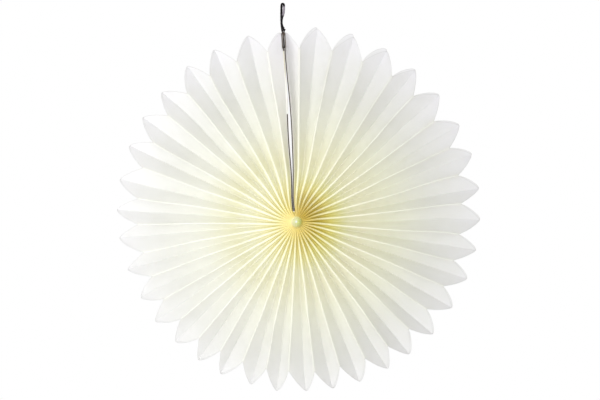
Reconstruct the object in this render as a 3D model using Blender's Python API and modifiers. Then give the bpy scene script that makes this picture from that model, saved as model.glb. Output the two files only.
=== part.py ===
"""A hanging fan rosette of pleated tissue.

One long strip of tissue is folded into an accordion, its ends are cut to leaf shapes,
and it is opened through a full turn about its inner edge. The strip's two end leaves
are glued to grey-board cards, which meet in the seam at the top and hang from a thread loop.

Metres, +Z up. The front of the fan faces -Y. The origin is the point that the loop hangs from.
"""

import math

import bmesh
import bpy
import numpy as np
from mathutils import Vector

MM = 0.001

# The folded tissue
TIP_CIRCLE_RADIUS = 250 * MM
LEAF_DEPTH = 29 * MM            # from a petal's tip in to the notch beside it
LEAF_CURVE = 1.25               # 1 cuts the leaf straight from tip to notch, more makes it belly out
PLEAT_WIDTH = 26 * MM           # from a front fold to the next back fold
PLEAT_SPREAD = 0.9              # share of its width that a pleat may span at the longest petal's tip
FOLD_WIDTH = 0.5 * MM           # the small flat that each pressed fold keeps
TISSUE_THICKNESS = 0.2 * MM

# Where the hub is within the cut outline
CUT_CENTRE_UP = 15.8 * MM
CUT_CENTRE_SIDE = 4.3 * MM
CROWN = 22 * MM                 # how far the hub stands forward of the petal tips
HUB_FORWARD = 5.8 * MM          # and how far its middle is in front of the point that the loop hangs from
HUB_RADIUS = 7.5 * MM           # where the folds' inner corners stand in a ring
HUB_THROAT_RADIUS = 4.5 * MM    # where the middle of each pleat's inner edge reaches
HUB_TAB_SHARE = 1 / 3           # share of the pleat's width that slants in from either fold
HUB_OFFSET = math.hypot(CUT_CENTRE_UP, CUT_CENTRE_SIDE)

# As many petals as the pleats need to close the full turn: 36
PETAL_COUNT = math.ceil(math.pi * (TIP_CIRCLE_RADIUS + HUB_OFFSET) / (PLEAT_SPREAD * PLEAT_WIDTH))

# The seam, and how the petals are spread from it
SEAM_AZIMUTH = math.radians(-4.0)       # clockwise from straight up, seen from the front
SEAM_LEAN = math.radians(-10.5)         # the seam's further turn at the hub, where it meets the folds askew
LEAN_REACH = 38 * MM                    # how far out from the hub the lean is felt
SEAM_SHORT = 4 * MM                     # how much shorter the end leaves and their cards are cut
SIDE_DRIFT = math.radians(2.3)          # the right half is opened wider at the top
LOW_DRIFT = math.radians(0.7)
AZIMUTH_PLAY = math.radians(0.5)        # unevenness of folds that are opened by hand
DEPTH_PLAY = 0.06
REACH_PLAY = 1.2 * MM
PLAY_SEED = 11

# The two end cards
CARD_THICKNESS = 1.5 * MM
CARD_START = 15 * MM            # from the hub's axis to the cards' inner edge
CARD_CLEARANCE = 0.3 * MM       # between a card and its leaf, and between the cards at both ends
RIGHT_CARD_BOW = 1.85 * MM      # the cards bend apart, each by this much at the middle of its bow
RIGHT_BOW_START = 50 * MM
RIGHT_BOW_END = 235 * MM
LEFT_CARD_BOW = 1.9 * MM
LEFT_BOW_START = 30 * MM
LEFT_BOW_END = 190 * MM

# The hanging loop
CARD_TIP_DROP = 37.8 * MM       # the cards' tips, from the point that the loop hangs from
CARD_TIP_SIDE = 0.07 * MM
THREAD_DIAMETER = 2.2 * MM
THREAD_ROOM_TAPER = 10 * MM     # over this length the cards part to let the thread lie between them
KNOT_RADIUS = 1.6 * MM

# The thread's way in millimetres, right, back and up from the point that the loop hangs from:
# out of the knot, down between the cards, round and up behind itself, round the eye and back.
THREAD_ROUTE = [
    (1.55, -0.3, -37.1), (1.2, -0.95, -39.0), (0.7, -1.5, -41.5), (0.57, -1.6, -45.0), (0.92, -1.6, -50.0),
    (1.27, -1.6, -55.0), (1.44, -1.6, -57.7), (1.53, -1.13, -58.83), (1.57, 0.0, -59.3),
    (1.53, 1.13, -58.83), (1.44, 1.6, -57.7), (1.27, 1.6, -55.0), (0.92, 1.6, -50.0), (0.5, 1.6, -44.0),
    (0.1, 1.55, -41.0), (-0.8, 1.25, -38.2), (-1.6, 0.95, -35.2), (-1.9, 1.25, -31.0), (-2.15, 1.4, -26.0),
    (-2.35, 1.2, -20.0), (-2.4, 0.6, -14.0), (-2.35, 0.1, -9.0), (-2.3, 0.0, -5.0), (-2.2, 0.0, -2.3),
    (-2.1, 0.0, -0.5), (-1.63, 0.0, 0.63), (-0.5, 0.0, 1.1), (0.63, 0.0, 0.63), (1.1, 0.0, -0.5),
    (1.2, 0.0, -2.3), (1.2, 0.0, -5.0), (1.0, -0.15, -9.0), (0.3, -0.9, -13.5), (-1.1, -1.45, -17.5),
    (-1.95, -1.45, -22.0), (-1.95, -1.4, -26.5), (-0.95, -1.3, -30.0), (0.4, -0.85, -32.1),
    (1.1, -0.45, -33.35),
]
THREAD_FOOT = min(up for right, back, up in THREAD_ROUTE) * MM
KNOT_PLACE = Vector((1.6, 0.0, -35.2)) * MM

# How finely the sheet is divided
FACET_COLUMNS = 3
FIXED_STATIONS = 7
STATION_MARGIN = 8 * MM
LAST_STEP = 4 * MM              # least distance between the last rows before a cut edge
ROUTE_STEPS = 2                 # points read from the smooth route between two of its own


def reach(azimuth):
    """Distance from the hub to the circle through the petal tips."""
    along = CUT_CENTRE_UP * math.cos(azimuth) + CUT_CENTRE_SIDE * math.sin(azimuth)
    across = CUT_CENTRE_SIDE * math.cos(azimuth) - CUT_CENTRE_UP * math.sin(azimuth)
    return along + math.sqrt(TIP_CIRCLE_RADIUS ** 2 - across ** 2)


def crown(radius):
    """How far forward of the tips the middle of the pleats is: a shallow, straight cone."""
    return CROWN * (1 - radius / TIP_CIRCLE_RADIUS)


def smooth_step(value, low, high):
    share = min(1.0, max(0.0, (value - low) / (high - low)))
    return share * share * (3 - 2 * share)


def leaf_start(across):
    """Inner edge of a pleat, across it from its back fold at 0 to its front fold at 1."""
    share = min(1.0, across / HUB_TAB_SHARE, (1 - across) / HUB_TAB_SHARE)
    return HUB_RADIUS - (HUB_RADIUS - HUB_THROAT_RADIUS) * share


def leaf_end(azimuth, across):
    """Outer cut edge of a pleat: longest at the back fold, shortest at the front one."""
    return reach(azimuth) - LEAF_DEPTH * across ** LEAF_CURVE


CARD_TIP_REACH = reach(SEAM_AZIMUTH) - SEAM_SHORT
HUB = Vector((CARD_TIP_SIDE - CARD_TIP_REACH * math.sin(SEAM_AZIMUTH), -HUB_FORWARD,
              -CARD_TIP_DROP - CARD_TIP_REACH * math.cos(SEAM_AZIMUTH)))

# How far out the cards have parted for the thread, and by how much each
THREAD_ROOM_START = (THREAD_FOOT - HUB.z) / math.cos(SEAM_AZIMUTH) - THREAD_DIAMETER / 2 - CARD_CLEARANCE
THREAD_ROOM = (THREAD_DIAMETER + CARD_CLEARANCE) / 2

LAST_STATION = TIP_CIRCLE_RADIUS - LEAF_DEPTH - HUB_OFFSET - STATION_MARGIN
STATIONS = np.linspace(CARD_START, LAST_STATION, FIXED_STATIONS)
SEAM_STATIONS = [*np.linspace(CARD_START, LAST_STATION, FIXED_STATIONS - 2),
                 THREAD_ROOM_START - THREAD_ROOM_TAPER, THREAD_ROOM_START]

CARD_CENTRE = (CARD_CLEARANCE + CARD_THICKNESS) / 2
END_LEAF_CENTRE = CARD_CENTRE + CARD_THICKNESS / 2 + CARD_CLEARANCE + TISSUE_THICKNESS / 2
HUB_LEAF_CENTRE = (CARD_CLEARANCE + TISSUE_THICKNESS) / 2


def place(azimuth, radius, lateral, forward):
    """A point from its turn round the hub, its distance, a step clockwise and a step forward."""
    sine, cosine = math.sin(azimuth), math.cos(azimuth)
    return HUB + Vector((radius * sine + lateral * cosine, -forward, radius * cosine - lateral * sine))


def end_leaf_centre(radius):
    """How far the glued leaf stands off the seam: close in at the hub, outside its card beyond."""
    return HUB_LEAF_CENTRE + (END_LEAF_CENTRE - HUB_LEAF_CENTRE) * smooth_step(radius, HUB_RADIUS, CARD_START)


def wave(value, low, high):
    """0 at low and at high, and a soft hill of height 1 between them."""
    share = min(1.0, max(0.0, (value - low) / (high - low)))
    return math.sin(math.pi * share) ** 2


def bow(radius, side):
    """The cards bend apart between their ends, and part again where the thread lies between them."""
    if side > 0:
        bend = RIGHT_CARD_BOW * wave(radius, RIGHT_BOW_START, RIGHT_BOW_END)
    else:
        bend = LEFT_CARD_BOW * wave(radius, LEFT_BOW_START, LEFT_BOW_END)
    parting = THREAD_ROOM * smooth_step(radius, THREAD_ROOM_START - THREAD_ROOM_TAPER, THREAD_ROOM_START)
    return side * (bend + parting)


def lean(radius, angle):
    """How far the folds near the hub turn with the seam, less and less round the other way."""
    return SEAM_LEAN * math.exp(-(radius / LEAN_REACH) ** 2) * (1 + math.cos(angle)) / 2


def station(row, stations, start, end):
    """Distance from the hub of one row of the sheet's points, between its inner and its cut edge."""
    if row == 0:
        return start
    rows_left = len(stations) + 1 - row
    if rows_left == 0:
        return end
    return min(stations[row - 1], end - rows_left * LAST_STEP)


class SeamLine:
    """One edge of an end leaf, or the back fold beside it, on the right (+1) or left (-1) of the seam."""

    def __init__(self, side, across, step=0.0):
        self.side = side
        self.across = across
        self.step = step
        self.azimuth = SEAM_AZIMUTH
        self.stretch = -SEAM_SHORT
        self.stations = SEAM_STATIONS

    def point(self, radius):
        lateral = self.side * (end_leaf_centre(radius) + self.step) + bow(radius, self.side)
        forward = crown(radius) + PLEAT_WIDTH * (self.across - 0.5)
        return place(SEAM_AZIMUTH + lean(radius, 0), radius, lateral, forward)


class FoldLine:
    """One edge of the small flat along a front fold (across 1) or a back fold (across 0)."""

    def __init__(self, turn, across, edge, azimuth_play, depth_play, stretch):
        self.turn = turn
        self.across = across
        self.edge = edge
        self.azimuth_play = azimuth_play
        self.depth_play = depth_play
        self.stretch = stretch
        self.stations = STATIONS
        self.azimuth = self.azimuth_at(TIP_CIRCLE_RADIUS)

    def azimuth_at(self, radius):
        angle = 2 * math.pi * self.turn
        drift = SIDE_DRIFT * math.sin(angle) + LOW_DRIFT * (1 - math.cos(angle))
        seam = math.asin(min(1.0, (end_leaf_centre(radius) + FOLD_WIDTH / 2) / radius))
        spread = (angle + drift) * (1 - seam / math.pi)
        return SEAM_AZIMUTH + seam + spread + lean(radius, angle) + self.azimuth_play

    def point(self, radius):
        facet = max(0.0, math.pi * radius / PETAL_COUNT - FOLD_WIDTH)
        depth = math.sqrt(PLEAT_WIDTH ** 2 - facet ** 2) * (1 + self.depth_play)
        forward = crown(radius) + depth * (self.across - 0.5)
        return place(self.azimuth_at(radius), radius, self.edge * FOLD_WIDTH / 2, forward)


def strip_lines():
    """Every fold edge of the strip, in order from the right end leaf round to the left one."""
    play = np.random.default_rng(PLAY_SEED)
    lines = [SeamLine(1, 1), SeamLine(1, 0), SeamLine(1, 0, FOLD_WIDTH)]
    for fold in range(1, 2 * PETAL_COUNT):
        turn = fold / (2 * PETAL_COUNT)
        angle, depth, stretch = play.uniform(-1, 1, 3)
        settings = (turn, fold % 2)
        looseness = (AZIMUTH_PLAY * angle, DEPTH_PLAY * depth, REACH_PLAY * stretch)
        lines.append(FoldLine(*settings, -1, *looseness))
        lines.append(FoldLine(*settings, 1, *looseness))
    lines += [SeamLine(-1, 0, FOLD_WIDTH), SeamLine(-1, 0), SeamLine(-1, 1)]
    return lines


def strip_columns(lines):
    """Pairs of lines and the share between them: pleats get inner columns, fold flats get none."""
    columns = []
    for first, second in zip(lines, lines[1:]):
        parts = FACET_COLUMNS if first.across != second.across else 1
        columns += [(first, second, part / parts) for part in range(parts)]
    columns.append((lines[-2], lines[-1], 1.0))
    return columns


def folded_point(column, row):
    """Where one point of the flat strip lies once it is folded and opened."""
    first, second, share = column
    across = first.across + (second.across - first.across) * share
    azimuth = first.azimuth + (second.azimuth - first.azimuth) * share
    stretch = first.stretch + (second.stretch - first.stretch) * share
    stations = [near + (far - near) * share for near, far in zip(first.stations, second.stations)]
    radius = station(row, stations, leaf_start(across), leaf_end(azimuth, across) + stretch)
    return first.point(radius).lerp(second.point(radius), share)


def new_object(name, mesh, collection, material=None):
    """A named object in its collection, with its material."""
    thing = bpy.data.objects.new(name, mesh)
    collection.objects.link(thing)
    if material is not None:
        mesh.materials.append(material)
    return thing


def sheet_mesh(name, column_count, row_count, position):
    """A flat grid whose points are then moved to position(column, row)."""
    bm = bmesh.new()
    bmesh.ops.create_grid(bm, x_segments=column_count - 1, y_segments=row_count - 1, size=1)
    for vertex in bm.verts:
        column = round((vertex.co.x + 1) / 2 * (column_count - 1))
        row = round((vertex.co.y + 1) / 2 * (row_count - 1))
        vertex.co = position(column, row)
    mesh = bpy.data.meshes.new(name)
    bm.to_mesh(mesh)
    bm.free()
    return mesh


def thicken(thing, thickness):
    """A Solidify wall, half to either side of the sheet."""
    wall = thing.modifiers.new("wall", "SOLIDIFY")
    wall.thickness = thickness
    wall.offset = 0
    wall.use_even_offset = True



def make_material(name, colour, roughness):
    material = bpy.data.materials.new(name)
    material.use_nodes = True
    shader = material.node_tree.nodes["Principled BSDF"]
    shader.inputs["Base Color"].default_value = (*colour, 1)
    shader.inputs["Roughness"].default_value = roughness
    material.diffuse_color = (*colour, 1)
    return material


def make_tissue(collection, material):
    """The whole accordion, one sheet from the right end leaf round to the left one."""
    columns = strip_columns(strip_lines())
    row_count = len(STATIONS) + 2
    mesh = sheet_mesh("tissue_pleats", len(columns), row_count, lambda column, row: folded_point(columns[column], row))
    tissue = new_object("tissue_pleats", mesh, collection, material)
    thicken(tissue, TISSUE_THICKNESS)
    return tissue


def make_card(name, side, collection, material):
    """A grey-board leaf that stands edge-on in the seam, as deep as a pleat."""
    def position(column, row):
        across = column / FACET_COLUMNS
        end = leaf_end(SEAM_AZIMUTH, across) - SEAM_SHORT
        radius = station(row + 1, SEAM_STATIONS, leaf_start(across), end)
        forward = crown(radius) + PLEAT_WIDTH * (across - 0.5)
        return place(SEAM_AZIMUTH + lean(radius, 0), radius, side * CARD_CENTRE + bow(radius, side), forward)

    mesh = sheet_mesh(name, FACET_COLUMNS + 1, len(SEAM_STATIONS) + 1, position)
    card = new_object(name, mesh, collection, material)
    thicken(card, CARD_THICKNESS)
    return card


def smooth_route(points):
    """A Catmull-Rom curve through the points, read at a few steps from each to the next."""
    rows = [Vector(point) * MM for point in points]
    rows = [2 * rows[0] - rows[1]] + rows + [2 * rows[-1] - rows[-2]]
    smooth = []
    for before, start, end, after in zip(rows, rows[1:], rows[2:], rows[3:]):
        for step in range(ROUTE_STEPS):
            t = step / ROUTE_STEPS
            smooth.append(0.5 * (2 * start + (end - before) * t
                                 + (2 * before - 5 * start + 4 * end - after) * t ** 2
                                 + (3 * start - before - 3 * end + after) * t ** 3))
    return smooth + [rows[-2]]


def make_thread(collection, material):
    """The hanging loop's thread, a plain round tube on its route."""
    route = smooth_route(THREAD_ROUTE)
    curve = bpy.data.curves.new("hanging_thread", "CURVE")
    curve.dimensions = "3D"
    curve.bevel_depth = THREAD_DIAMETER / 2
    curve.bevel_resolution = 2
    curve.use_fill_caps = True
    spline = curve.splines.new("POLY")
    spline.points.add(len(route) - 1)
    for point, position in zip(spline.points, route):
        point.co = (*position, 1)
    return new_object("hanging_thread", curve, collection, material)


def make_knot(collection, material):
    """The small tight knot that closes the loop, just above where it goes in between the cards."""
    bm = bmesh.new()
    bmesh.ops.create_uvsphere(bm, u_segments=16, v_segments=8, radius=KNOT_RADIUS)
    for face in bm.faces:
        face.smooth = True
    mesh = bpy.data.meshes.new("thread_knot")
    bm.to_mesh(mesh)
    bm.free()
    knot = new_object("thread_knot", mesh, collection, material)
    knot.location = KNOT_PLACE
    return knot


def main():
    for thing in list(bpy.data.objects):
        bpy.data.objects.remove(thing, do_unlink=True)
    parts = bpy.data.collections.new("pleated_fan_rosette")
    bpy.context.scene.collection.children.link(parts)

    ivory = make_material("ivory_tissue", (0.87, 0.85, 0.72), 0.85)
    board = make_material("grey_board", (0.20, 0.18, 0.14), 0.9)
    black = make_material("black_thread", (0.02, 0.02, 0.02), 0.6)

    make_tissue(parts, ivory)
    make_card("right_end_card", 1, parts, board)
    make_card("left_end_card", -1, parts, board)
    make_thread(parts, black)
    make_knot(parts, black)


main()
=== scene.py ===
# %% [markdown]
# # A hanging fan rosette of pleated tissue
#
# A long strip of ivory tissue is folded like an accordion, cut to leaf shapes along one side and
# opened through a full turn. Its two ends are glued to grey-board cards, which meet in a seam at
# the top and hang from a short loop of thread. This lesson starts from the engineer's solid model
# and dresses it: finer folds, two plies of real paper thickness, twisted thread and fibrous board.

import math

import bpy
import numpy as np
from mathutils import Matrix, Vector


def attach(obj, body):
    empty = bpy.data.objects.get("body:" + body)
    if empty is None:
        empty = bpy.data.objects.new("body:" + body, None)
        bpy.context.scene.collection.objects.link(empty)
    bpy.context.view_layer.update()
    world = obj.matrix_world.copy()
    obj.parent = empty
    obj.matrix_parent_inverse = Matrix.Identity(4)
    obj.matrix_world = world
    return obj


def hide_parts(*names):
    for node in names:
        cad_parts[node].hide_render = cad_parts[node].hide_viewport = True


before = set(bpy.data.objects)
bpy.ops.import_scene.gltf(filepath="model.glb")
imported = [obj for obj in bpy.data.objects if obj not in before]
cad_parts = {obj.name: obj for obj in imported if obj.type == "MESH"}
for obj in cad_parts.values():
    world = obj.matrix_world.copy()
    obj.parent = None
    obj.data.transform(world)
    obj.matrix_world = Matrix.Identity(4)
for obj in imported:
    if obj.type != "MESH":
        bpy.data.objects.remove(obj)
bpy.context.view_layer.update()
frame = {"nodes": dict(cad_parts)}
MM = 0.001
print("nodes:", ", ".join(frame["nodes"]))

# %% [markdown]
# ## Camera
#
# The photograph looks straight at the fan with almost no perspective, so the camera stands level,
# well back, with a long lens.

# %% The camera
VIEW_WIDTH = 823.8 * MM          # what the picture's width spans at the petal tips
VIEW_CENTRE = (23.3 * MM, -269.1 * MM)
TIP_PLANE = -5.8 * MM
CAMERA_DISTANCE = 1.8

camera = bpy.data.objects.new("camera", bpy.data.cameras.new("camera"))
bpy.context.scene.collection.objects.link(camera)
camera.location = (VIEW_CENTRE[0], TIP_PLANE - CAMERA_DISTANCE, VIEW_CENTRE[1])
camera.rotation_euler = (math.pi / 2, 0, 0)
camera.data.sensor_width = 36
camera.data.lens = 36 * CAMERA_DISTANCE / VIEW_WIDTH
bpy.context.scene.camera = camera
print(f"lens {camera.data.lens:.1f} mm")

# %% [markdown]
# ## Small helpers
#
# Every new mesh starts from one of Blender's primitives, as by hand. Everything is deselected
# first, because an operator acts on all that is selected.


# %% Helpers for new pieces
def start_fresh():
    """Leave edit mode and select nothing, so that the next operator acts on its own piece alone."""
    if bpy.context.object is not None and bpy.context.object.mode != "OBJECT":
        bpy.ops.object.mode_set(mode="OBJECT")
    bpy.ops.object.select_all(action="DESELECT")


def pick(piece):
    """Select this piece alone and make it the active one."""
    start_fresh()
    bpy.context.view_layer.objects.active = piece
    piece.select_set(True)


def name_new(name):
    """Name the object that an operator has just added, and its mesh."""
    piece = bpy.context.object
    piece.name = piece.data.name = name
    return piece


def apply_modifier(piece, kind, **settings):
    """Add a modifier with its settings and apply it."""
    pick(piece)
    modifier = piece.modifiers.new(kind.lower(), kind)
    for key, value in settings.items():
        setattr(modifier, key, value)
    bpy.ops.object.modifier_apply(modifier=modifier.name)


def merge_and_turn_out(piece, threshold):
    """Merge doubled points and make the faces point outwards."""
    pick(piece)
    bpy.ops.object.mode_set(mode="EDIT")
    bpy.ops.mesh.select_all(action="SELECT")
    bpy.ops.mesh.remove_doubles(threshold=threshold)
    bpy.ops.mesh.normals_make_consistent(inside=False)
    bpy.ops.object.mode_set(mode="OBJECT")


def points_of(piece):
    """All points of a piece as one array."""
    table = np.empty(len(piece.data.vertices) * 3)
    piece.data.vertices.foreach_get("co", table)
    return table.reshape(-1, 3)


def move_points(piece, table):
    """Put the piece's points where the array says."""
    piece.data.vertices.foreach_set("co", np.ascontiguousarray(table).ravel())
    piece.data.update()


def write_uv(piece, name, u, v):
    """A UV map that holds two measured values of each point, for the materials to read."""
    layers = piece.data.uv_layers
    layer = layers.active if name == "sheet" else layers.new(name=name)
    layer.name = name
    loops = np.empty(len(piece.data.loops), dtype=int)
    piece.data.loops.foreach_get("vertex_index", loops)
    layers[name].data.foreach_set("uv", np.stack([u[loops], v[loops]], axis=1).ravel())


def finish_piece(piece, slot, *nodes):
    """Hang the piece from the root, hide the solid model's parts that it stands in for, and print
    its size.
    """
    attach(piece, "root")
    if nodes:
        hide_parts(*nodes)
    triangles = sum(len(face.vertices) - 2 for face in piece.data.polygons)
    size = np.ptp(points_of(piece), axis=0) / MM
    print(f"{piece.name}: {triangles} triangles, {size[0]:.1f} x {size[1]:.1f} x {size[2]:.1f} mm")


# %% [markdown]
# ## The thread
#
# The fan hangs from one short black-and-grey thread. Its fold lies glued between the two end
# cards, and above them its strands lie over each other, cross once and make a narrow eye. It is a
# limp cord of fixed length on one smooth route, which is the route that the solid model has.

# %% The thread's route
THREAD_DIAMETER = 2.2 * MM
THREAD_ROUTE = [                 # millimetres
    (1.55, -0.3, -37.1), (1.2, -0.95, -39.0), (0.7, -1.5, -41.5), (0.57, -1.6, -45.0),
    (0.92, -1.6, -50.0), (1.27, -1.6, -55.0), (1.44, -1.6, -57.7), (1.53, -1.13, -58.83),
    (1.57, 0.0, -59.3), (1.53, 1.13, -58.83), (1.44, 1.6, -57.7), (1.27, 1.6, -55.0),
    (0.92, 1.6, -50.0), (0.5, 1.6, -44.0), (0.1, 1.55, -41.0), (-0.8, 1.25, -38.2),
    (-1.6, 0.95, -35.2), (-1.9, 1.25, -31.0), (-2.15, 1.4, -26.0), (-2.35, 1.2, -20.0),
    (-2.4, 0.6, -14.0), (-2.35, 0.1, -9.0), (-2.3, 0.0, -5.0), (-2.2, 0.0, -2.3),
    (-2.1, 0.0, -0.5), (-1.63, 0.0, 0.63), (-0.5, 0.0, 1.1), (0.63, 0.0, 0.63),
    (1.1, 0.0, -0.5), (1.2, 0.0, -2.3), (1.2, 0.0, -5.0), (1.0, -0.15, -9.0),
    (0.3, -0.9, -13.5), (-1.1, -1.45, -17.5), (-1.95, -1.45, -22.0), (-1.95, -1.4, -26.5),
    (-0.95, -1.3, -30.0), (0.4, -0.85, -32.1), (1.1, -0.45, -33.35),
]


def arc_lengths(line):
    """How far along a line each of its points lies."""
    return np.concatenate([[0], np.cumsum(np.linalg.norm(np.diff(line, axis=0), axis=1))])


def smooth_route(points, spacing):
    """A Catmull-Rom curve through the points, read at even steps along its length."""
    rows = [Vector(point) * MM for point in points]
    rows = [2 * rows[0] - rows[1]] + rows + [2 * rows[-1] - rows[-2]]
    fine = []
    for before, start, end, after in zip(rows, rows[1:], rows[2:], rows[3:]):
        for t in np.arange(0, 1, 0.05):
            fine.append(0.5 * (2 * start + (end - before) * t
                               + (2 * before - 5 * start + 4 * end - after) * t ** 2
                               + (3 * start - before - 3 * end + after) * t ** 3))
    fine = np.array([tuple(point) for point in fine + [rows[-2]]])
    lengths = arc_lengths(fine)
    steps = np.linspace(0, lengths[-1], round(lengths[-1] / spacing) + 1)
    return np.stack([np.interp(steps, lengths, fine[:, axis]) for axis in range(3)], axis=1)


thread_line = smooth_route(THREAD_ROUTE, 0.5 * MM)


# %% A twisted tube along a route
STRANDS = 2                      # a thread is twisted from this many plies
ROUND_END = 1.5                  # rings over which the tube swells to its full radius
UV_LENGTH = 200 * MM             # the length of thread that one unit of its UV map stands for


def twisted_tube(name, line, radius, pitch, sides=16, groove=0.25):
    """A closed tube whose section has lobes that wind round it, as the plies of a thread do.

    A flat grid is rolled up along the line; its two end rows shrink to points and its sides merge.
    """
    start_fresh()
    rows = len(line) - 1
    radius = np.broadcast_to(radius, len(line))
    bpy.ops.mesh.primitive_grid_add(x_subdivisions=sides, y_subdivisions=rows, size=1)
    tube = name_new(name)
    ahead = np.gradient(line, axis=0)
    ahead /= np.linalg.norm(ahead, axis=1)[:, None]
    across, first = [], np.cross(ahead[0], (0.0, 1.0, 0.0))
    for direction in ahead:
        first = first - direction * np.dot(first, direction)
        first = first / np.linalg.norm(first)
        across.append(first)
    across = np.array(across)
    upward = np.cross(ahead, across)
    flat = points_of(tube)
    ring = np.rint((flat[:, 1] + 0.5) * rows).astype(int)
    turn = (flat[:, 0] + 0.5) * 2 * math.pi
    winding = turn - 2 * math.pi * arc_lengths(line)[ring] / pitch
    closing = np.clip(np.minimum(ring, rows - ring) / ROUND_END, 0, 1) ** 0.5
    out = radius[ring] * closing * (1 - groove * (0.5 - 0.5 * np.cos(STRANDS * winding)))
    spoke = np.cos(turn)[:, None] * across[ring] + np.sin(turn)[:, None] * upward[ring]
    move_points(tube, line[ring] + out[:, None] * spoke)
    write_uv(tube, "sheet", turn / (2 * math.pi), arc_lengths(line)[ring] / UV_LENGTH)
    merge_and_turn_out(tube, radius.min() * 0.01)
    bpy.ops.object.shade_smooth_by_angle(angle=math.radians(60))
    return tube


GLUED_LENGTH = 50 * MM           # of the thread, between the cards, where its fibres lie flat
FUZZ = 0.52 * MM                 # how far the loose fibres stand out elsewhere
FUZZ_RISE = 6 * MM
FLAT_FUZZ = 0.1
THREAD_PITCH = 9 * MM

fuzz = FUZZ * np.clip((arc_lengths(thread_line) - GLUED_LENGTH) / FUZZ_RISE, FLAT_FUZZ, 1)
thread = twisted_tube("hanging_thread_plies", thread_line, THREAD_DIAMETER / 2 + fuzz,
                      THREAD_PITCH, groove=0.1)
finish_piece(thread, "black_thread", "hanging_thread")

# %% [markdown]
# ## The knot
#
# The thread's two ends meet in a tight little knot just above the cards. It is a second, thicker
# tube that winds round itself as an overhand knot does, drawn close, with one short cut tail.

# %% The knot
KNOT_PLACE = np.array((1.2, 0.0, -35.0)) * MM
KNOT_SPREAD = 1.1 * MM
KNOT_PLY = 2.7 * MM
KNOT_PITCH = 5 * MM
KNOT_TAIL = (1.3 * MM, -0.4 * MM, 1.5 * MM)


def knot_line(steps):
    """A trefoil drawn tight, its axis from front to back, which leaves by a short tail."""
    t = np.linspace(0, 2 * math.pi, steps)
    x = np.sin(t) + 2 * np.sin(2 * t)
    z = np.cos(t) - 2 * np.cos(2 * t)
    y = -1.4 * np.sin(3 * t)
    closed = np.stack([x, y, z * 1.15], axis=1) * KNOT_SPREAD / 3
    tail = closed[-1] + np.outer(np.linspace(0.1, 1, 5), KNOT_TAIL)
    return KNOT_PLACE + np.concatenate([closed, tail])


knot = twisted_tube("thread_knot_turns", knot_line(70), KNOT_PLY / 2, KNOT_PITCH, sides=12)
finish_piece(knot, "black_thread", "thread_knot")

# %% [markdown]
# ## How the strip is folded
#
# The sizes and formulas below are the solid model's own, so the finer paper lies where the solid
# does. A line of the strip is either an edge of a fold's small flat or an edge of an end leaf. Its
# place at any distance from the hub follows from its turn round the hub and the pleat's depth.

# %% The rosette's sizes
PETAL_COUNT = 36
TIP_CIRCLE_RADIUS = 250 * MM
LEAF_DEPTH = 29 * MM
LEAF_CURVE = 1.25
PLEAT_WIDTH = 26 * MM
FOLD_WIDTH = 0.5 * MM
CUT_CENTRE_UP = 15.8 * MM
CUT_CENTRE_SIDE = 4.3 * MM
CROWN = 22 * MM
HUB_RADIUS = 7.5 * MM            # where the front folds begin
HUB_THROAT_RADIUS = 1.4 * MM     # where the middles of the pleats begin
HUB_BACK_RADIUS = 3.6 * MM       # where the back folds begin
HUB_TAB_SHARE = 1 / 3            # of a pleat's width, over which its inner edge runs in or out
HUB_SHIFT = 1.9 * MM             # the disc where the folds begin lies low on the right of the hub
HUB_SHIFT_AZIMUTH = math.radians(145)
SEAM_AZIMUTH = math.radians(-4.0)
SEAM_LEAN = math.radians(-10.5)
LEAN_REACH = 38 * MM
SEAM_SHORT = 4 * MM
SIDE_DRIFT = math.radians(2.3)
LOW_DRIFT = math.radians(0.7)
AZIMUTH_PLAY = math.radians(0.5)
DEPTH_PLAY = 0.06
REACH_PLAY = 1.2 * MM
PLAY_SEED = 11

CARD_THICKNESS = 1.5 * MM
CARD_START = 15 * MM
CARD_CLEARANCE = 0.3 * MM
CARD_CENTRE = (CARD_CLEARANCE + CARD_THICKNESS) / 2
RIGHT_CARD_BOW = 1.85 * MM
RIGHT_BOW_START = 50 * MM
RIGHT_BOW_END = 235 * MM
LEFT_CARD_BOW = 1.9 * MM
LEFT_BOW_START = 30 * MM
LEFT_BOW_END = 190 * MM
CARD_TIP = np.array((0.07, -5.8, -37.8)) * MM
THREAD_ROOM_TAPER = 2.5 * MM
THREAD_ROOM = (THREAD_DIAMETER + CARD_CLEARANCE) / 2
END_LEAF_CENTRE = CARD_CENTRE + CARD_THICKNESS / 2 + CARD_CLEARANCE + 0.1 * MM
HUB_LEAF_CENTRE = 0.15 * MM
END_LEAF_STEP = 0.92 * CARD_START        # the glued leaves step round their cards' ends from here


# %% Where the sheet's lines run
def reach(azimuth):
    """Distance from the hub to the circle through the petal tips."""
    along = CUT_CENTRE_UP * np.cos(azimuth) + CUT_CENTRE_SIDE * np.sin(azimuth)
    across = CUT_CENTRE_SIDE * np.cos(azimuth) - CUT_CENTRE_UP * np.sin(azimuth)
    return along + np.sqrt(TIP_CIRCLE_RADIUS ** 2 - across ** 2)


def crown(radius):
    """How far forward of the tips the middle of the pleats is: a shallow cone."""
    return CROWN * (1 - radius / TIP_CIRCLE_RADIUS)


def ease(value, low, high):
    """0 below low, 1 above high, and a soft step between them."""
    share = np.clip((value - low) / (high - low), 0, 1)
    return share * share * (3 - 2 * share)


def end_leaf_centre(radius, low):
    """How far a glued end leaf stands off the seam: it steps out before its card starts."""
    return HUB_LEAF_CENTRE + (END_LEAF_CENTRE - HUB_LEAF_CENTRE) * ease(radius, low, CARD_START)


def wave(value, low, high):
    """0 at low and at high, and a soft hill of height 1 between them."""
    return np.sin(math.pi * np.clip((value - low) / (high - low), 0, 1)) ** 2


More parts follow.
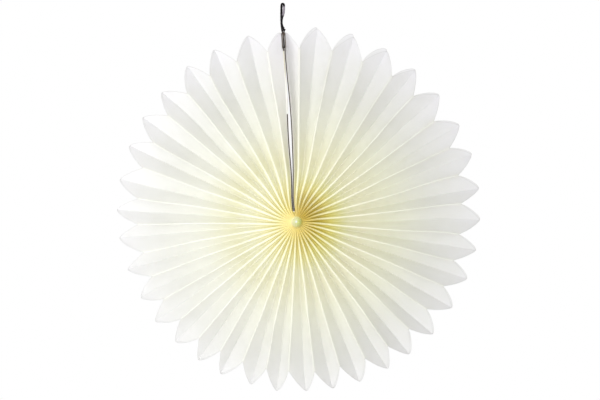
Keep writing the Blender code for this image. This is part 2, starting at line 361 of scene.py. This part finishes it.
def bow(radius, side):
    """The cards bend apart between their ends, and part again to make room for the thread."""
    bend = np.where(side > 0, RIGHT_CARD_BOW * wave(radius, RIGHT_BOW_START, RIGHT_BOW_END),
                    LEFT_CARD_BOW * wave(radius, LEFT_BOW_START, LEFT_BOW_END))
    room = THREAD_ROOM * ease(radius, THREAD_ROOM_START - THREAD_ROOM_TAPER, THREAD_ROOM_START)
    return side * (bend + room)


def lean(radius, angle):
    """How far the folds near the hub turn with the seam, less and less round the other way."""
    return SEAM_LEAN * np.exp(-(radius / LEAN_REACH) ** 2) * (1 + np.cos(angle)) / 2


CARD_TIP_REACH = reach(SEAM_AZIMUTH) - SEAM_SHORT
HUB = CARD_TIP - CARD_TIP_REACH * np.array((math.sin(SEAM_AZIMUTH), 0, math.cos(SEAM_AZIMUTH)))
THREAD_FOOT = min(up for right, back, up in THREAD_ROUTE) * MM
THREAD_ROOM_START = (THREAD_FOOT - HUB[2]) / math.cos(SEAM_AZIMUTH) - THREAD_DIAMETER / 4


def place(azimuth, radius, lateral, forward):
    """Points from their turn round the hub, distance, step clockwise and step forward."""
    sine, cosine = np.sin(azimuth), np.cos(azimuth)
    right, up = radius * sine + lateral * cosine, radius * cosine - lateral * sine
    return HUB + np.stack([right, -forward, up], axis=-1)


def strip_lines():
    """The strip's lines: side, step, turn, across, edge, and play in angle, depth and reach."""
    play = np.random.default_rng(PLAY_SEED)
    glued = (0, 0, 0, -SEAM_SHORT)
    rows = [(1, 0, 0, 1, *glued), (1, 0, 0, 0, *glued), (1, FOLD_WIDTH, 0, 0, *glued)]
    for fold in range(1, 2 * PETAL_COUNT):
        angle, depth, stretch = play.uniform(-1, 1, 3)
        loose = (AZIMUTH_PLAY * angle, DEPTH_PLAY * depth, REACH_PLAY * stretch)
        rows += [(0, 0, fold / (2 * PETAL_COUNT), fold % 2, edge, *loose) for edge in (-1, 1)]
    rows += [(-1, FOLD_WIDTH, 0, 0, *glued), (-1, 0, 0, 0, *glued), (-1, 0, 0, 1, *glued)]
    return np.array(rows, dtype=float)


LINES = strip_lines()
LINE_WIDTHS = np.where(np.diff(LINES[:, 3]) != 0, PLEAT_WIDTH, FOLD_WIDTH)
LINE_AT = np.concatenate([[0], np.cumsum(LINE_WIDTHS)])      # metres along the flat strip
STRIP_LENGTH = LINE_AT[-1]
print(f"{len(LINES)} lines over a strip {STRIP_LENGTH:.3f} m long")


# %% [markdown]
# ## Paper is never quite straight
#
# Folds opened by hand wander a little, facets belly between them, and tissue keeps soft creases.
# All three are soft noise over the flat sheet, which fades out towards the hub, where the pleats
# are packed too tightly to move.

# %% Soft noise over the flat sheet
HILL_COUNT = (512, 128)          # along and out, before the same hills come again
WANDER = math.radians(0.55)
WANDER_START, WANDER_FULL = 25 * MM, 110 * MM
WANDER_FOLDS = 1.6               # folds this far apart stray on their own
WANDER_LENGTH = 65 * MM


def hills(along, out, size, seed):
    """Soft random hills between -1 and 1, each about `size` wide."""
    lattice = np.random.default_rng(seed).uniform(-1, 1, HILL_COUNT)
    x, y = along / size, out / size
    left, low = np.floor(x).astype(int), np.floor(y).astype(int)
    x, y = ease(x - left, 0, 1), ease(y - low, 0, 1)
    left, right = left % HILL_COUNT[0], (left + 1) % HILL_COUNT[0]
    low, high = low % HILL_COUNT[1], (low + 1) % HILL_COUNT[1]
    below = lattice[left, low] * (1 - x) + lattice[right, low] * x
    above = lattice[left, high] * (1 - x) + lattice[right, high] * x
    return below * (1 - y) + above * y


def fold_wander(turn, radius):
    """How far a fold strays from its straight line, as an angle."""
    free = ease(radius, WANDER_START, WANDER_FULL)
    place_of_fold = turn * 2 * PETAL_COUNT / WANDER_FOLDS
    return WANDER * free * hills(place_of_fold, radius / WANDER_LENGTH, 1, 5)


# %% The folded sheet
def line_points(index, radius):
    """Points of numbered lines of the strip at their distances from the hub."""
    side, step, turn, across, edge, play_angle, play_depth = LINES[index, :7].T
    angle = 2 * math.pi * turn
    drift = SIDE_DRIFT * np.sin(angle) + LOW_DRIFT * (1 - np.cos(angle))
    seam = np.arcsin(np.clip((end_leaf_centre(radius, HUB_RADIUS) + FOLD_WIDTH / 2) / radius, 0, 1))
    azimuth = SEAM_AZIMUTH + seam + (angle + drift) * (1 - seam / math.pi) + lean(radius, angle)
    azimuth = azimuth + play_angle + fold_wander(turn, radius)
    facet = np.maximum(0, math.pi * radius / PETAL_COUNT - FOLD_WIDTH)
    depth = np.sqrt(PLEAT_WIDTH ** 2 - facet ** 2) * (1 + play_depth)
    fold = place(azimuth, radius, edge * FOLD_WIDTH / 2, crown(radius) + depth * (across - 0.5))
    off_seam = end_leaf_centre(radius, END_LEAF_STEP) + step
    glued = place(SEAM_AZIMUTH + lean(radius, 0), radius, side * off_seam + bow(radius, side),
                  crown(radius) + PLEAT_WIDTH * (across - 0.5))
    return np.where(side[:, None] == 0, fold, glued)


def between_lines(along):
    """The line before each place on the strip, and the share of the way to the next one."""
    index = np.clip(np.searchsorted(LINE_AT, along, side="right") - 1, 0, len(LINES) - 2)
    return index, np.clip((along - LINE_AT[index]) / LINE_WIDTHS[index], 0, 1)


def sharp_sheet(along, radius):
    """The folded sheet with straight facets."""
    index, share = between_lines(along)
    share = share[:, None]
    return line_points(index, radius) * (1 - share) + line_points(index + 1, radius) * share


FRONT_ROUND = 1.3 * MM           # a front fold is a soft loop of this radius, where it has room
BACK_ROUND = 0.6 * MM
CROWDED_ROUND = 0.075            # of the distance from the hub, where it has less
LOOP_TAIL = 3.2                  # loop radii over which it runs out into the facet
LOOP_BLEND = 0.12 * MM


def loop_width(off, radius, largest):
    """Half the width of a fold's loop at a distance off its crest, over that of straight facets."""
    round_off = np.minimum(largest, CROWDED_ROUND * radius)
    crest = round_off * np.sqrt(np.clip(1 - (1 - off / round_off) ** 2, 0, 1))
    tail = round_off * np.exp(-((off - round_off) / (LOOP_TAIL * round_off)) ** 2)
    facet = np.maximum(0, math.pi * radius / PETAL_COUNT - FOLD_WIDTH)
    over = np.where(off < round_off, crest, tail) - (off * facet / PLEAT_WIDTH + FOLD_WIDTH / 2)
    return (over + np.sqrt(over ** 2 + LOOP_BLEND ** 2)) / 2


def soft_sheet(along, radius):
    """The same sheet with each fold opened into a soft loop, as tissue folds are."""
    index, share = between_lines(along)
    flat = sharp_sheet(along, radius)
    from_hub = flat - HUB
    azimuth = np.arctan2(from_hub[:, 0], from_hub[:, 2])
    sideways = np.stack([np.cos(azimuth), np.zeros(len(azimuth)), -np.sin(azimuth)], axis=1)
    facet = (LINE_WIDTHS[index] == PLEAT_WIDTH) & (index != 0) & (index != len(LINES) - 2)
    after, before = share * PLEAT_WIDTH, (1 - share) * PLEAT_WIDTH
    first_round = np.where(LINES[index, 3] == 1, FRONT_ROUND, BACK_ROUND)
    last_round = np.where(LINES[index, 3] == 1, BACK_ROUND, FRONT_ROUND)
    push = loop_width(after, radius, first_round) - loop_width(before, radius, last_round)
    return flat + sideways * (push * facet)[:, None]


def sheet_normal(along, radius):
    """The sheet's direction towards the front."""
    step = 0.15 * MM
    across = soft_sheet(along + step, radius) - soft_sheet(along - step, radius)
    outward = soft_sheet(along, radius + step) - soft_sheet(along, radius - step)
    normal = np.cross(across, outward)
    return normal / np.maximum(np.linalg.norm(normal, axis=1), 1e-12)[:, None]


# %% [markdown]
# ## Two plies of tissue
#
# Near the cut edges the photograph shows one ply stepping out from behind another, always on the
# same side of a petal. So the strip is two thin sheets folded together, the back one slipped a few
# millimetres. Each ply is a flat grid that is moved to its folded place and given its thickness.

# %% Facets, leaf cut and creases
PLY_THICKNESS = 0.05 * MM
PLY_STAND = 0.035 * MM           # how far each ply lies off the sheet's middle
EDGE_STAND = 0.25 * MM           # and how much further near its cut edge
EDGE_STAND_START, EDGE_STAND_FULL = 150 * MM, 245 * MM
SLIP = 2.6                       # millimetres that the back ply shows past the front one
TOP_RIGHT_SLIP = 6.0             # millimetres more at the petals right of the thread
OTHER_SIDE_SLIP = -0.35
# Columns are counted from the front fold, rows from the hub.
COLUMN_SHARES = np.array((0, 0.01, 0.025, 0.05, 0.09, 0.16, 0.3, 0.5, 0.72, 0.88, 0.97))
ROW_SHARES = np.concatenate([(0, 0.011, 0.021, 0.0285, 0.0335), np.linspace(0.045, 0.22, 10)[:-1],
                             np.linspace(0.22, 0.97, 33)[:-1], np.linspace(0.97, 1, 4)])


def share_across(along):
    """0 at a back fold and 1 at a front fold."""
    index, share = between_lines(along)
    return LINES[index, 3] * (1 - share) + LINES[index + 1, 3] * share


def strip_columns():
    """Places along the strip that get a column of points."""
    places = []
    for start, width, across in zip(LINE_AT, LINE_WIDTHS, LINES[:, 3]):
        shares = (0,)
        if width == PLEAT_WIDTH:
            shares = COLUMN_SHARES if across == 1 else np.append(0, (1 - COLUMN_SHARES)[:0:-1])
        places += [start + width * share for share in shares]
    return np.array(places + [STRIP_LENGTH])


def leaf_rows(along, slip):
    """Where each column of the sheet starts and ends, out from the hub."""
    index, share = between_lines(along)
    across = share_across(along)
    middle = sharp_sheet(along, np.full(len(along), TIP_CIRCLE_RADIUS)) - HUB
    azimuth = np.arctan2(middle[:, 0], middle[:, 2])
    front = HUB_RADIUS + HUB_SHIFT * np.cos(azimuth - HUB_SHIFT_AZIMUTH)
    near_front = 1 - np.clip((1 - across) / HUB_TAB_SHARE, 0, 1)
    near_back = 1 - np.clip(across / HUB_TAB_SHARE, 0, 1)
    start = (HUB_THROAT_RADIUS + (front - HUB_THROAT_RADIUS) * near_front
             + (HUB_BACK_RADIUS - HUB_THROAT_RADIUS) * near_back)
    stretch = LINES[index, 7] * (1 - share) + LINES[index + 1, 7] * share
    end = reach(azimuth) - LEAF_DEPTH * across ** LEAF_CURVE + stretch
    return start, end + slip_of_ply(azimuth, index, across) * slip


def slip_of_ply(azimuth, index, across):
    """How far the back ply shows past the front one: on the side of each petal that comes first."""
    side = np.where(LINES[index, 3] > LINES[index + 1, 3], 1.0, OTHER_SIDE_SLIP)
    top_right = np.exp(-((azimuth - math.radians(18)) / math.radians(16)) ** 2)
    most = side * (SLIP + TOP_RIGHT_SLIP * top_right) * MM
    return most * np.sin(math.pi * np.clip(across, 0, 1)) ** 0.5


def creases(along, radius):
    """Bellies and soft creases: how far the paper stands off its straight facet."""
    index, share = between_lines(along)
    free = np.sin(math.pi * share) * (LINE_WIDTHS[index] == PLEAT_WIDTH)
    glued = (index == 0) | (index == len(LINES) - 2)
    belly = hills(index * 1.7, radius / (110 * MM), 1, 21) * 0.9 * MM
    belly *= ease(radius, 40 * MM, 200 * MM)
    soft = hills(along, radius, 23 * MM, 22) * 0.5 * MM
    soft += hills(along, radius, 9 * MM, 23) * 0.22 * MM
    fine = hills(along, radius, 4.5 * MM, 24) * 0.07 * MM
    rise = ease(radius, 22 * MM, 130 * MM)
    return np.where(glued, 0, free * belly + (0.25 + 0.75 * free) * (soft + fine) * rise)


# %% Fold the two plies
def fold_ply(name, stand, slip):
    """A flat grid of tissue, moved point by point to its folded place and thickened."""
    columns = strip_columns()
    column_steps, row_steps = len(columns) - 1, len(ROW_SHARES) - 1
    start_fresh()
    bpy.ops.mesh.primitive_grid_add(x_subdivisions=column_steps, y_subdivisions=row_steps, size=1)
    ply = name_new(name)
    flat = points_of(ply)
    column = np.rint((flat[:, 0] + 0.5) * column_steps).astype(int)
    row = np.rint((flat[:, 1] + 0.5) * row_steps).astype(int)
    start, end = leaf_rows(columns, slip)
    along = columns[column]
    radius = start[column] + (end - start)[column] * ROW_SHARES[row]
    normal = sheet_normal(along, radius)
    parting = PLY_STAND + EDGE_STAND * ease(radius, EDGE_STAND_START, EDGE_STAND_FULL)
    lift = creases(along, radius) + stand * parting
    lift[np.isin(column, (0, column_steps))] = 0
    move_points(ply, soft_sheet(along, radius) + normal * lift[:, None])
    write_uv(ply, "sheet", along / 2, radius)
    write_uv(ply, "leaf", end[column] - radius, share_across(along))
    apply_modifier(ply, "SOLIDIFY", thickness=PLY_THICKNESS, offset=0)
    bpy.ops.object.shade_smooth_by_angle(angle=math.radians(55))
    return ply


front_ply = fold_ply("tissue_front_ply", 1, 0)
back_ply = fold_ply("tissue_back_ply", -1, 1)
finish_piece(front_ply, "ivory_tissue", "tissue_pleats")
finish_piece(back_ply, "ivory_tissue", "tissue_pleats")

# %% [markdown]
# ## The end cards
#
# The strip's two end leaves are glued to stiff grey board, cut to the same leaf shape. Seen from
# the front they are two thin dark lines, bowed apart. Each is a grid bent to the bow, thickened
# and given slightly broken edges.

# %% The two end cards
CARD_BEVEL = 0.2 * MM


def make_card(name, side):
    """One grey-board leaf, standing edge-on in the seam."""
    start_fresh()
    bpy.ops.mesh.primitive_grid_add(x_subdivisions=10, y_subdivisions=60, size=1)
    card = name_new(name)
    flat = points_of(card)
    across = flat[:, 0] + 0.5
    end = CARD_TIP_REACH - LEAF_DEPTH * across ** LEAF_CURVE
    radius = CARD_START + (end - CARD_START) * (flat[:, 1] + 0.5)
    lateral = side * CARD_CENTRE + bow(radius, np.full(len(flat), side))
    azimuth = SEAM_AZIMUTH + lean(radius, 0)
    move_points(card, place(azimuth, radius, lateral, crown(radius) + PLEAT_WIDTH * (across - 0.5)))
    write_uv(card, "sheet", across * PLEAT_WIDTH, radius)
    write_uv(card, "leaf", end - radius, across)
    apply_modifier(card, "SOLIDIFY", thickness=CARD_THICKNESS, offset=0)
    apply_modifier(card, "BEVEL", width=CARD_BEVEL, segments=2, limit_method="ANGLE",
                   angle_limit=math.radians(50))
    bpy.ops.object.shade_smooth_by_angle(angle=math.radians(30))
    return card


right_card = make_card("right_card_board", 1)
left_card = make_card("left_card_board", -1)
finish_piece(right_card, "grey_board", "right_end_card")
finish_piece(left_card, "grey_board", "left_end_card")

# %% [markdown]
# ## Shader arithmetic
#
# Materials below are written as expressions. A small class wraps a socket, and each operator on
# it adds a Math node. One method adds any other node from its type, settings and socket values.


# %% The shader kit
class Wire:
    """A number that varies over a surface."""

    def __init__(self, finish, socket):
        self.finish, self.socket = finish, socket

    def math(self, operation, *others):
        return self.finish.node("Math", {"operation": operation}, dict(enumerate((self, *others))))

    def __add__(self, other):
        return self.math("ADD", other)

    def __sub__(self, other):
        return self.math("SUBTRACT", other)

    def __rsub__(self, other):
        return self.math("MULTIPLY", -1.0) + other

    def __mul__(self, other):
        return self.math("MULTIPLY", other)

    def __truediv__(self, other):
        return self.math("DIVIDE", other)

    __radd__, __rmul__ = __add__, __mul__


class Finish:
    """A material in the making."""

    def __init__(self, name):
        self.material = bpy.data.materials.new(name)
        self.material.use_nodes = True
        self.tree = self.material.node_tree
        self.tree.nodes.clear()

    def node(self, kind, settings=None, values=None, output=0):
        """Add a node: first its settings, then the values or links of its sockets."""
        made = self.tree.nodes.new("ShaderNode" + kind)
        for key, value in (settings or {}).items():
            if key == "stops":
                set_stops(made.color_ramp, value)
            else:
                setattr(made, key, value)
        for key, value in (values or {}).items():
            if isinstance(value, Wire):
                self.tree.links.new(value.socket, made.inputs[key])
            else:
                made.inputs[key].default_value = value
        return Wire(self, made.outputs[output])

    def split(self, vector):
        """The first two numbers of a vector."""
        parts = self.node("SeparateXYZ", values={0: vector})
        return parts, Wire(self, parts.socket.node.outputs[1])

    def blend(self, factor, first, second, way="MIX"):
        """Two colours mixed by a factor."""
        return self.node("Mix", {"data_type": "RGBA", "blend_type": way},
                         {0: factor, 6: first, 7: second}, 2)

    def step(self, value, low, high):
        """0 at low and 1 at high, softly; low may be the larger of the two."""
        return self.node("MapRange", {"interpolation_type": "SMOOTHSTEP"},
                         {0: value, 1: low, 2: high, 3: 0.0, 4: 1.0})

    def ramp(self, value, stops):
        """A colour ramp with its stops, as (position, colour)."""
        return self.node("ValToRGB", {"stops": stops}, {0: value})

    def noise(self, **values):
        """Soft noise over two measured coordinates."""
        return self.node("TexNoise", {"noise_dimensions": "2D"}, values)

    def close(self, shader):
        """Connect the surface and return the material. A faint glow needs no rays of its own."""
        self.material.cycles.emission_sampling = "NONE"
        end = self.tree.nodes.new("ShaderNodeOutputMaterial")
        self.tree.links.new(shader.socket, end.inputs["Surface"])
        return self.material


def set_stops(ramp, stops):
    """Give a colour ramp its stops, as (position, colour)."""
    while len(ramp.elements) < len(stops):
        ramp.elements.new(0.5)
    for element, (position, colour) in zip(ramp.elements, stops):
        element.position = position
        element.color = colour


def paint(red, green, blue):
    """A colour as it looks on the screen, 0 to 255, as the linear values that shaders use."""
    return tuple(((value / 255 + 0.055) / 1.055) ** 2.4 for value in (red, green, blue)) + (1.0,)


# %% [markdown]
# ## Tissue
#
# Thin tissue scatters light back and also lets much of it through, so its shader mixes a matt
# surface with a translucent one. It is ivory and almost white at the rim where a single ply shows;
# its deeper yellow near the hub is partly the paper's and partly painted light, for light bounced
# in the packed pleats. Light bounces many more times in packed pleats than a render follows, so a
# faint painted glow stands for the rest. It is stronger on the lamp's side, where more light is
# also let through, with a paler tint. The ochre shadow beside the hub, a highlight on the front
# folds, a thin shade along the cut edges and a glow beside the cards are painted too. The sheet's
# own coordinates place the creases and fibres.

# %% The tissue's tones
RAMP_REACH = 266 * MM            # the ramps run from the hub to here
# Base colour out from the hub: the paper's ivory, with painted light in it. The deeper yellow near
# the hub stands for light bounced between the packed pleats.
PAPER_AND_PAINTED_LIGHT_RAMP = [
    (0.00, paint(240, 242, 205)), (0.03, paint(250, 243, 190)), (0.08, paint(252, 246, 205)),
    (0.17, paint(252, 250, 222)), (0.30, paint(251, 250, 230)), (0.48, paint(250, 250, 237)),
    (0.70, paint(249, 249, 247)), (1.00, paint(247, 246, 255))]
# Painted glow, given as emission, for light bounced in the pleats: one ramp for the lamp's side and
# one for the far side.
LIT_SIDE_RAMP = [
    (0.00, (0.34, 0.38, 0.33, 1)), (0.03, (0.38, 0.37, 0.35, 1)), (0.08, (0.25, 0.27, 0.22, 1)),
    (0.17, (0.30, 0.31, 0.32, 1)), (0.32, (0.18, 0.17, 0.09, 1)), (0.50, (0.12, 0.12, 0.14, 1)),
    (0.70, (0.0, 0.0, 0.0, 1))]
DARK_SIDE_RAMP = [
    (0.00, (0.30, 0.36, 0.22, 1)), (0.03, (0.09, 0.12, 0.05, 1)), (0.08, (0.07, 0.07, 0.01, 1)),
    (0.17, (0.17, 0.18, 0.09, 1)), (0.32, (0.15, 0.14, 0.10, 1)), (0.50, (0.08, 0.08, 0.05, 1)),
    (0.70, (0.0, 0.0, 0.0, 1))]
# Painted glow on the tissue beside the end cards, which shade it; less beside the right card.
CARD_GLOW = (0.175, 0.167, 0.18, 1)
RIGHT_CARD_GLOW = 0.75           # of the left card's
SHADOW_PAINT = paint(208, 182, 64)
# Painted highlight: the front folds are drawn whiter, where they catch the light.
RIDGE_HIGHLIGHT_PAINT = paint(253, 252, 242)
CLOUD_PAINT = paint(240, 240, 230)
# Painted shade: a thin grey line along each cut edge, where the ply's edge shades the paper.
EDGE_SHADE_PAINT = paint(150, 150, 146)
# Tints of the light let through, painted light and shade: pale on the lamp's side, dim on the far
# side.
PALE_GLOW = (0.985, 0.985, 0.975, 1.0)
DIM_GLOW = (0.955, 0.955, 0.940, 1.0)
# Painted bounce light: amber light let through near the hub.
AMBER_GLOW = (0.95, 0.87, 0.42, 1.0)
THROUGH = 0.74                   # the share of the light that goes through
# More light is let through on the lamp's side, which paints that side lighter.
LEFT_THROUGH = 0.06              # and how much more of it on the left
SHADOW_TURN = 0.85               # radians clockwise from the seam, where the hub casts its shadow
LEAF_SEAM = (27.0 * MM, 26.2 * MM)       # where a glued end leaf ends, along the strip


def half_of(turn, ahead):
    """1 on the fan's left half and 0 on its right half, turned back by an angle."""
    return (turn + ahead).math("SINE") * -0.5 + 0.5


# %% The tissue finish
def tissue_finish(name, shift):
    """Ivory tissue; the shift gives each ply its own clouds and fibres."""
    f = Finish(name)
    along, out = f.split(f.node("UVMap", {"uv_map": "sheet"}))
    to_edge, share = f.split(f.node("UVMap", {"uv_map": "leaf"}))
    spot = f.node("CombineXYZ", values={0: along * 2.0 + shift, 1: out, 2: 0.0})
    turn = along * (4 * math.pi / STRIP_LENGTH)
    ramp_place = out / RAMP_REACH
    # left and lit mark the lamp's side of the fan, where the painted light is stronger.
    left, lit = half_of(turn, 0.35), half_of(turn, -0.15)

    # Where the light differs: by the cards, on the ridges, in the hub's disc and in its shadow.
    first_leaf = f.step(along, *LEAF_SEAM)
    last_leaf = f.step(along, *(STRIP_LENGTH / 2 - edge for edge in LEAF_SEAM))
    by_card = (first_leaf * RIGHT_CARD_GLOW + last_leaf) * f.step(out, 50 * MM, 130 * MM)
    ridge = f.step(share, 0.82, 1.0) * f.step(out, 12 * MM, 36 * MM)
    disc = f.step(out, 8.5 * MM, 6.0 * MM)
    shadow = f.step((turn - SHADOW_TURN).math("COSINE"), 0.6, 1.0) * f.step(out, 60 * MM, 12 * MM)
    # Painted bounce light near the hub, weaker on the lamp's side, on the ridges and in the hub's
    # disc.
    amber = f.step(out, 75 * MM, 10 * MM) * (1 - lit * 0.6) * (1 - ridge * 0.7) * (1 - disc * 0.8)

    # The glow is painted light: bounced light, stronger on the lamp's side, and light beside the
    # cards, which shade the tissue there.
    trapped = f.blend(lit, f.ramp(ramp_place, DARK_SIDE_RAMP), f.ramp(ramp_place, LIT_SIDE_RAMP))
    trapped = f.blend(by_card, trapped, CARD_GLOW)
    # Base colour with painted light and shade: bounced yellow near the hub, the hub's painted
    # shadow, a painted highlight on the ridges and painted shade along the cut edges. The clouds
    # are the paper's own.
    colour = f.ramp(ramp_place, PAPER_AND_PAINTED_LIGHT_RAMP)
    colour = f.blend(shadow * 0.75 * (1 - disc), colour, SHADOW_PAINT)
    colour = f.blend(ridge * 0.4, colour, RIDGE_HIGHLIGHT_PAINT)
    clouds = f.noise(Vector=spot, Scale=55.0, Detail=3.0)
    colour = f.blend(f.step(clouds, 0.35, 0.7) * 0.25, colour, CLOUD_PAINT, "MULTIPLY")
    colour = f.blend(f.step(to_edge, 1.2 * MM, 0.3 * MM) * 0.7, colour, EDGE_SHADE_PAINT)

    wrinkles = f.noise(Vector=spot, Scale=170.0, Detail=4.0, Roughness=0.6, Distortion=0.6)
    fibres = f.noise(Vector=spot, Scale=900.0, Detail=2.0)
    relief = f.node("Bump", values={"Strength": 0.35, "Distance": 0.6 * MM,
                                    "Height": wrinkles + fibres * 0.12})
    matt = f.node("BsdfPrincipled", values={
        "Base Color": colour, "Roughness": 0.7, "Normal": relief, "Specular IOR Level": 0.25,
        "Sheen Weight": 0.08, "Emission Color": trapped, "Emission Strength": 1.0})
    # The light let through is paler and more on the lamp's side, dimmer on the far side and amber
    # near the hub: painted light and shade.
    pale, dim, warm = (f.node("BsdfTranslucent", values={"Color": tint, "Normal": relief})
                       for tint in (PALE_GLOW, DIM_GLOW, AMBER_GLOW))
    glow = f.node("MixShader", values={0: left, 1: dim, 2: pale})
    glow = f.node("MixShader", values={0: amber, 1: glow, 2: warm})
    return f.close(f.node("MixShader", values={0: left * LEFT_THROUGH + THROUGH, 1: matt, 2: glow}))


front_ply.data.materials.append(tissue_finish("ivory_tissue_front", 0.0))
back_ply.data.materials.append(tissue_finish("ivory_tissue_back", 0.37))

# %% [markdown]
# ## Board and thread
#
# The cards are brown-grey board with short fibres, faced with pale paper, so that only their cut
# edges look dark. High up, the left card's front edge is hidden by tissue lapped round it. The
# thread is black, stained with glue where it lies between the cards and grey on one stretch of
# its eye, and its fibres follow the winding round the tube.

# %% Board and thread finishes
NOWHERE = 1.0                    # metres: farther than any piece reaches
LEFT_WRAP = 147 * MM             # the left card's front edge is wrapped beyond this radius
GREY_STRETCH_FROM, GREY_STRETCH_TO = 89 * MM, 105 * MM


def board_finish(name, wrapped_from):
    """Board faced with paper; beyond a radius the tissue is lapped round its front edge."""
    f = Finish(name)
    fibre = f.node("TexNoise", values={"Vector": f.node("TexCoord", output=3), "Scale": 420.0,
                                       "Detail": 5.0, "Roughness": 0.7})
    across, out = f.split(f.node("UVMap", {"uv_map": "sheet"}))
    to_end = f.split(f.node("UVMap", {"uv_map": "leaf"}))[0]
    off_back, off_front = f.step(across, 0.4 * MM, 0.9 * MM), f.step(across, 25.5 * MM, 25.0 * MM)
    faced = off_back * off_front * f.step(to_end, 30 * MM, 34 * MM)
    lapped = (1 - off_front) * f.step(out, wrapped_from - 1 * MM, wrapped_from)
    lap = f.blend(f.step(out, 185 * MM, 210 * MM), paint(246, 245, 238), paint(216, 210, 190))
    colour = f.blend(f.step(fibre, 0.3, 0.7), paint(58, 50, 43), paint(92, 82, 72))
    colour = f.blend(f.step(out, 225 * MM, 255 * MM) * 0.6, colour, paint(122, 113, 100))
    colour = f.blend(faced, colour, paint(240, 237, 222))
    colour = f.blend(lapped, colour, lap)
    relief = f.node("Bump", values={"Strength": 0.4, "Distance": 0.3 * MM, "Height": fibre})
    return f.close(f.node("BsdfPrincipled", values={
        "Base Color": colour, "Roughness": 0.9, "Normal": relief, "Specular IOR Level": 0.3}))


def thread_finish(name, pitch, glued_to, grey_from, grey_to):
    """Black thread, brown up to the length where it is glued, and light grey between two others."""
    f = Finish(name)
    turn, length = f.split(f.node("UVMap", {"uv_map": "sheet"}))
    length = length * UV_LENGTH
    winding = (turn - length / pitch).math("FRACT")
    fibre_place = f.node("CombineXYZ", values={0: winding * 26.0, 1: length * 900.0})
    strands = f.noise(Vector=fibre_place, Scale=1.0, Detail=2.0)
    # A stretch of the thread between two lengths is lighter grey.
    grey_stretch = f.step(length, grey_from, grey_from + 3 * MM) * f.step(length, grey_to, grey_to - 3 * MM)
    colour = f.blend(strands * 0.35, paint(8, 5, 8), paint(30, 25, 30))
    colour = f.blend(f.step(length, glued_to, glued_to - 8 * MM), colour, paint(84, 74, 66))
    colour = f.blend(grey_stretch * (strands * 0.4 + 0.6), colour, paint(170, 162, 172))
    relief = f.node("Bump", values={"Strength": 0.5, "Distance": 0.2 * MM, "Height": strands})
    return f.close(f.node("BsdfPrincipled", values={
        "Base Color": colour, "Roughness": 0.8, "Normal": relief, "Specular IOR Level": 0.2}))


right_card.data.materials.append(board_finish("right_board", NOWHERE))
left_card.data.materials.append(board_finish("left_board", LEFT_WRAP))
thread.data.materials.append(
    thread_finish("black_grey_thread", THREAD_PITCH, GLUED_LENGTH, GREY_STRETCH_FROM, GREY_STRETCH_TO))
knot.data.materials.append(
    thread_finish("black_grey_knot", KNOT_PITCH, 0.0, NOWHERE, 1.1 * NOWHERE))

# %% [markdown]
# ## Floor, world and light
#
# The photograph's background is plain white. The world is white to the camera and to mirror and
# glass rays, and gives a softer light to everything else. One broad lamp, low in front on the
# left, does the modelling. A pale floor lies below.


# %% The floor
FLOOR_LEVEL = -0.82
FLOOR_RADIUS = 1.5
FADE_START, FADE_END = 0.9, 1.45         # the floor fades into the white between these radii

start_fresh()
bpy.ops.mesh.primitive_circle_add(vertices=96, radius=FLOOR_RADIUS, fill_type="NGON",
                                  location=(0, 0, FLOOR_LEVEL))
floor = name_new("floor")
f = Finish("pale_floor")
from_middle = f.node("VectorMath", {"operation": "LENGTH"}, {0: f.node("TexCoord", output=3)}, 1)
ground = f.node("BsdfDiffuse", values={"Color": (0.85, 0.85, 0.85, 1)})
floor.data.materials.append(f.close(f.node("MixShader", values={
    0: f.step(from_middle, FADE_START, FADE_END), 1: ground, 2: f.node("BsdfTransparent")})))

# %% The world
WORLD_LIGHT = 0.64
world = bpy.data.worlds.new("white_studio")
bpy.context.scene.world = world
world.use_nodes = True
nodes, links = world.node_tree.nodes, world.node_tree.links
path = nodes.new("ShaderNodeLightPath")
seen = path.outputs["Is Camera Ray"]
for ray in ("Is Glossy Ray", "Is Transmission Ray"):
    either = nodes.new("ShaderNodeMath")
    either.operation = "MAXIMUM"
    links.new(seen, either.inputs[0])
    links.new(path.outputs[ray], either.inputs[1])
    seen = either.outputs[0]
strength = nodes.new("ShaderNodeMapRange")
links.new(seen, strength.inputs["Value"])
strength.inputs["To Min"].default_value = WORLD_LIGHT
strength.inputs["To Max"].default_value = 1.0
background = nodes["Background"]
background.inputs["Color"].default_value = (1, 1, 1, 1)
links.new(strength.outputs["Result"], background.inputs["Strength"])

# %% The lamp
LAMP_PLACE = Vector((-0.56, -1.1, -0.46))
LAMP_SIZE = 0.9
LAMP_POWER = 10.5
FAN_MIDDLE = Vector((18 * MM, 0, -285 * MM))

lamp = bpy.data.objects.new("key_left", bpy.data.lights.new("key_left", "AREA"))
bpy.context.scene.collection.objects.link(lamp)
lamp.data.energy, lamp.data.size = LAMP_POWER, LAMP_SIZE
lamp.location = LAMP_PLACE
lamp.rotation_euler = (FAN_MIDDLE - LAMP_PLACE).to_track_quat("-Z", "Y").to_euler()

# %% Plain colour
bpy.context.scene.view_settings.view_transform = "Standard"
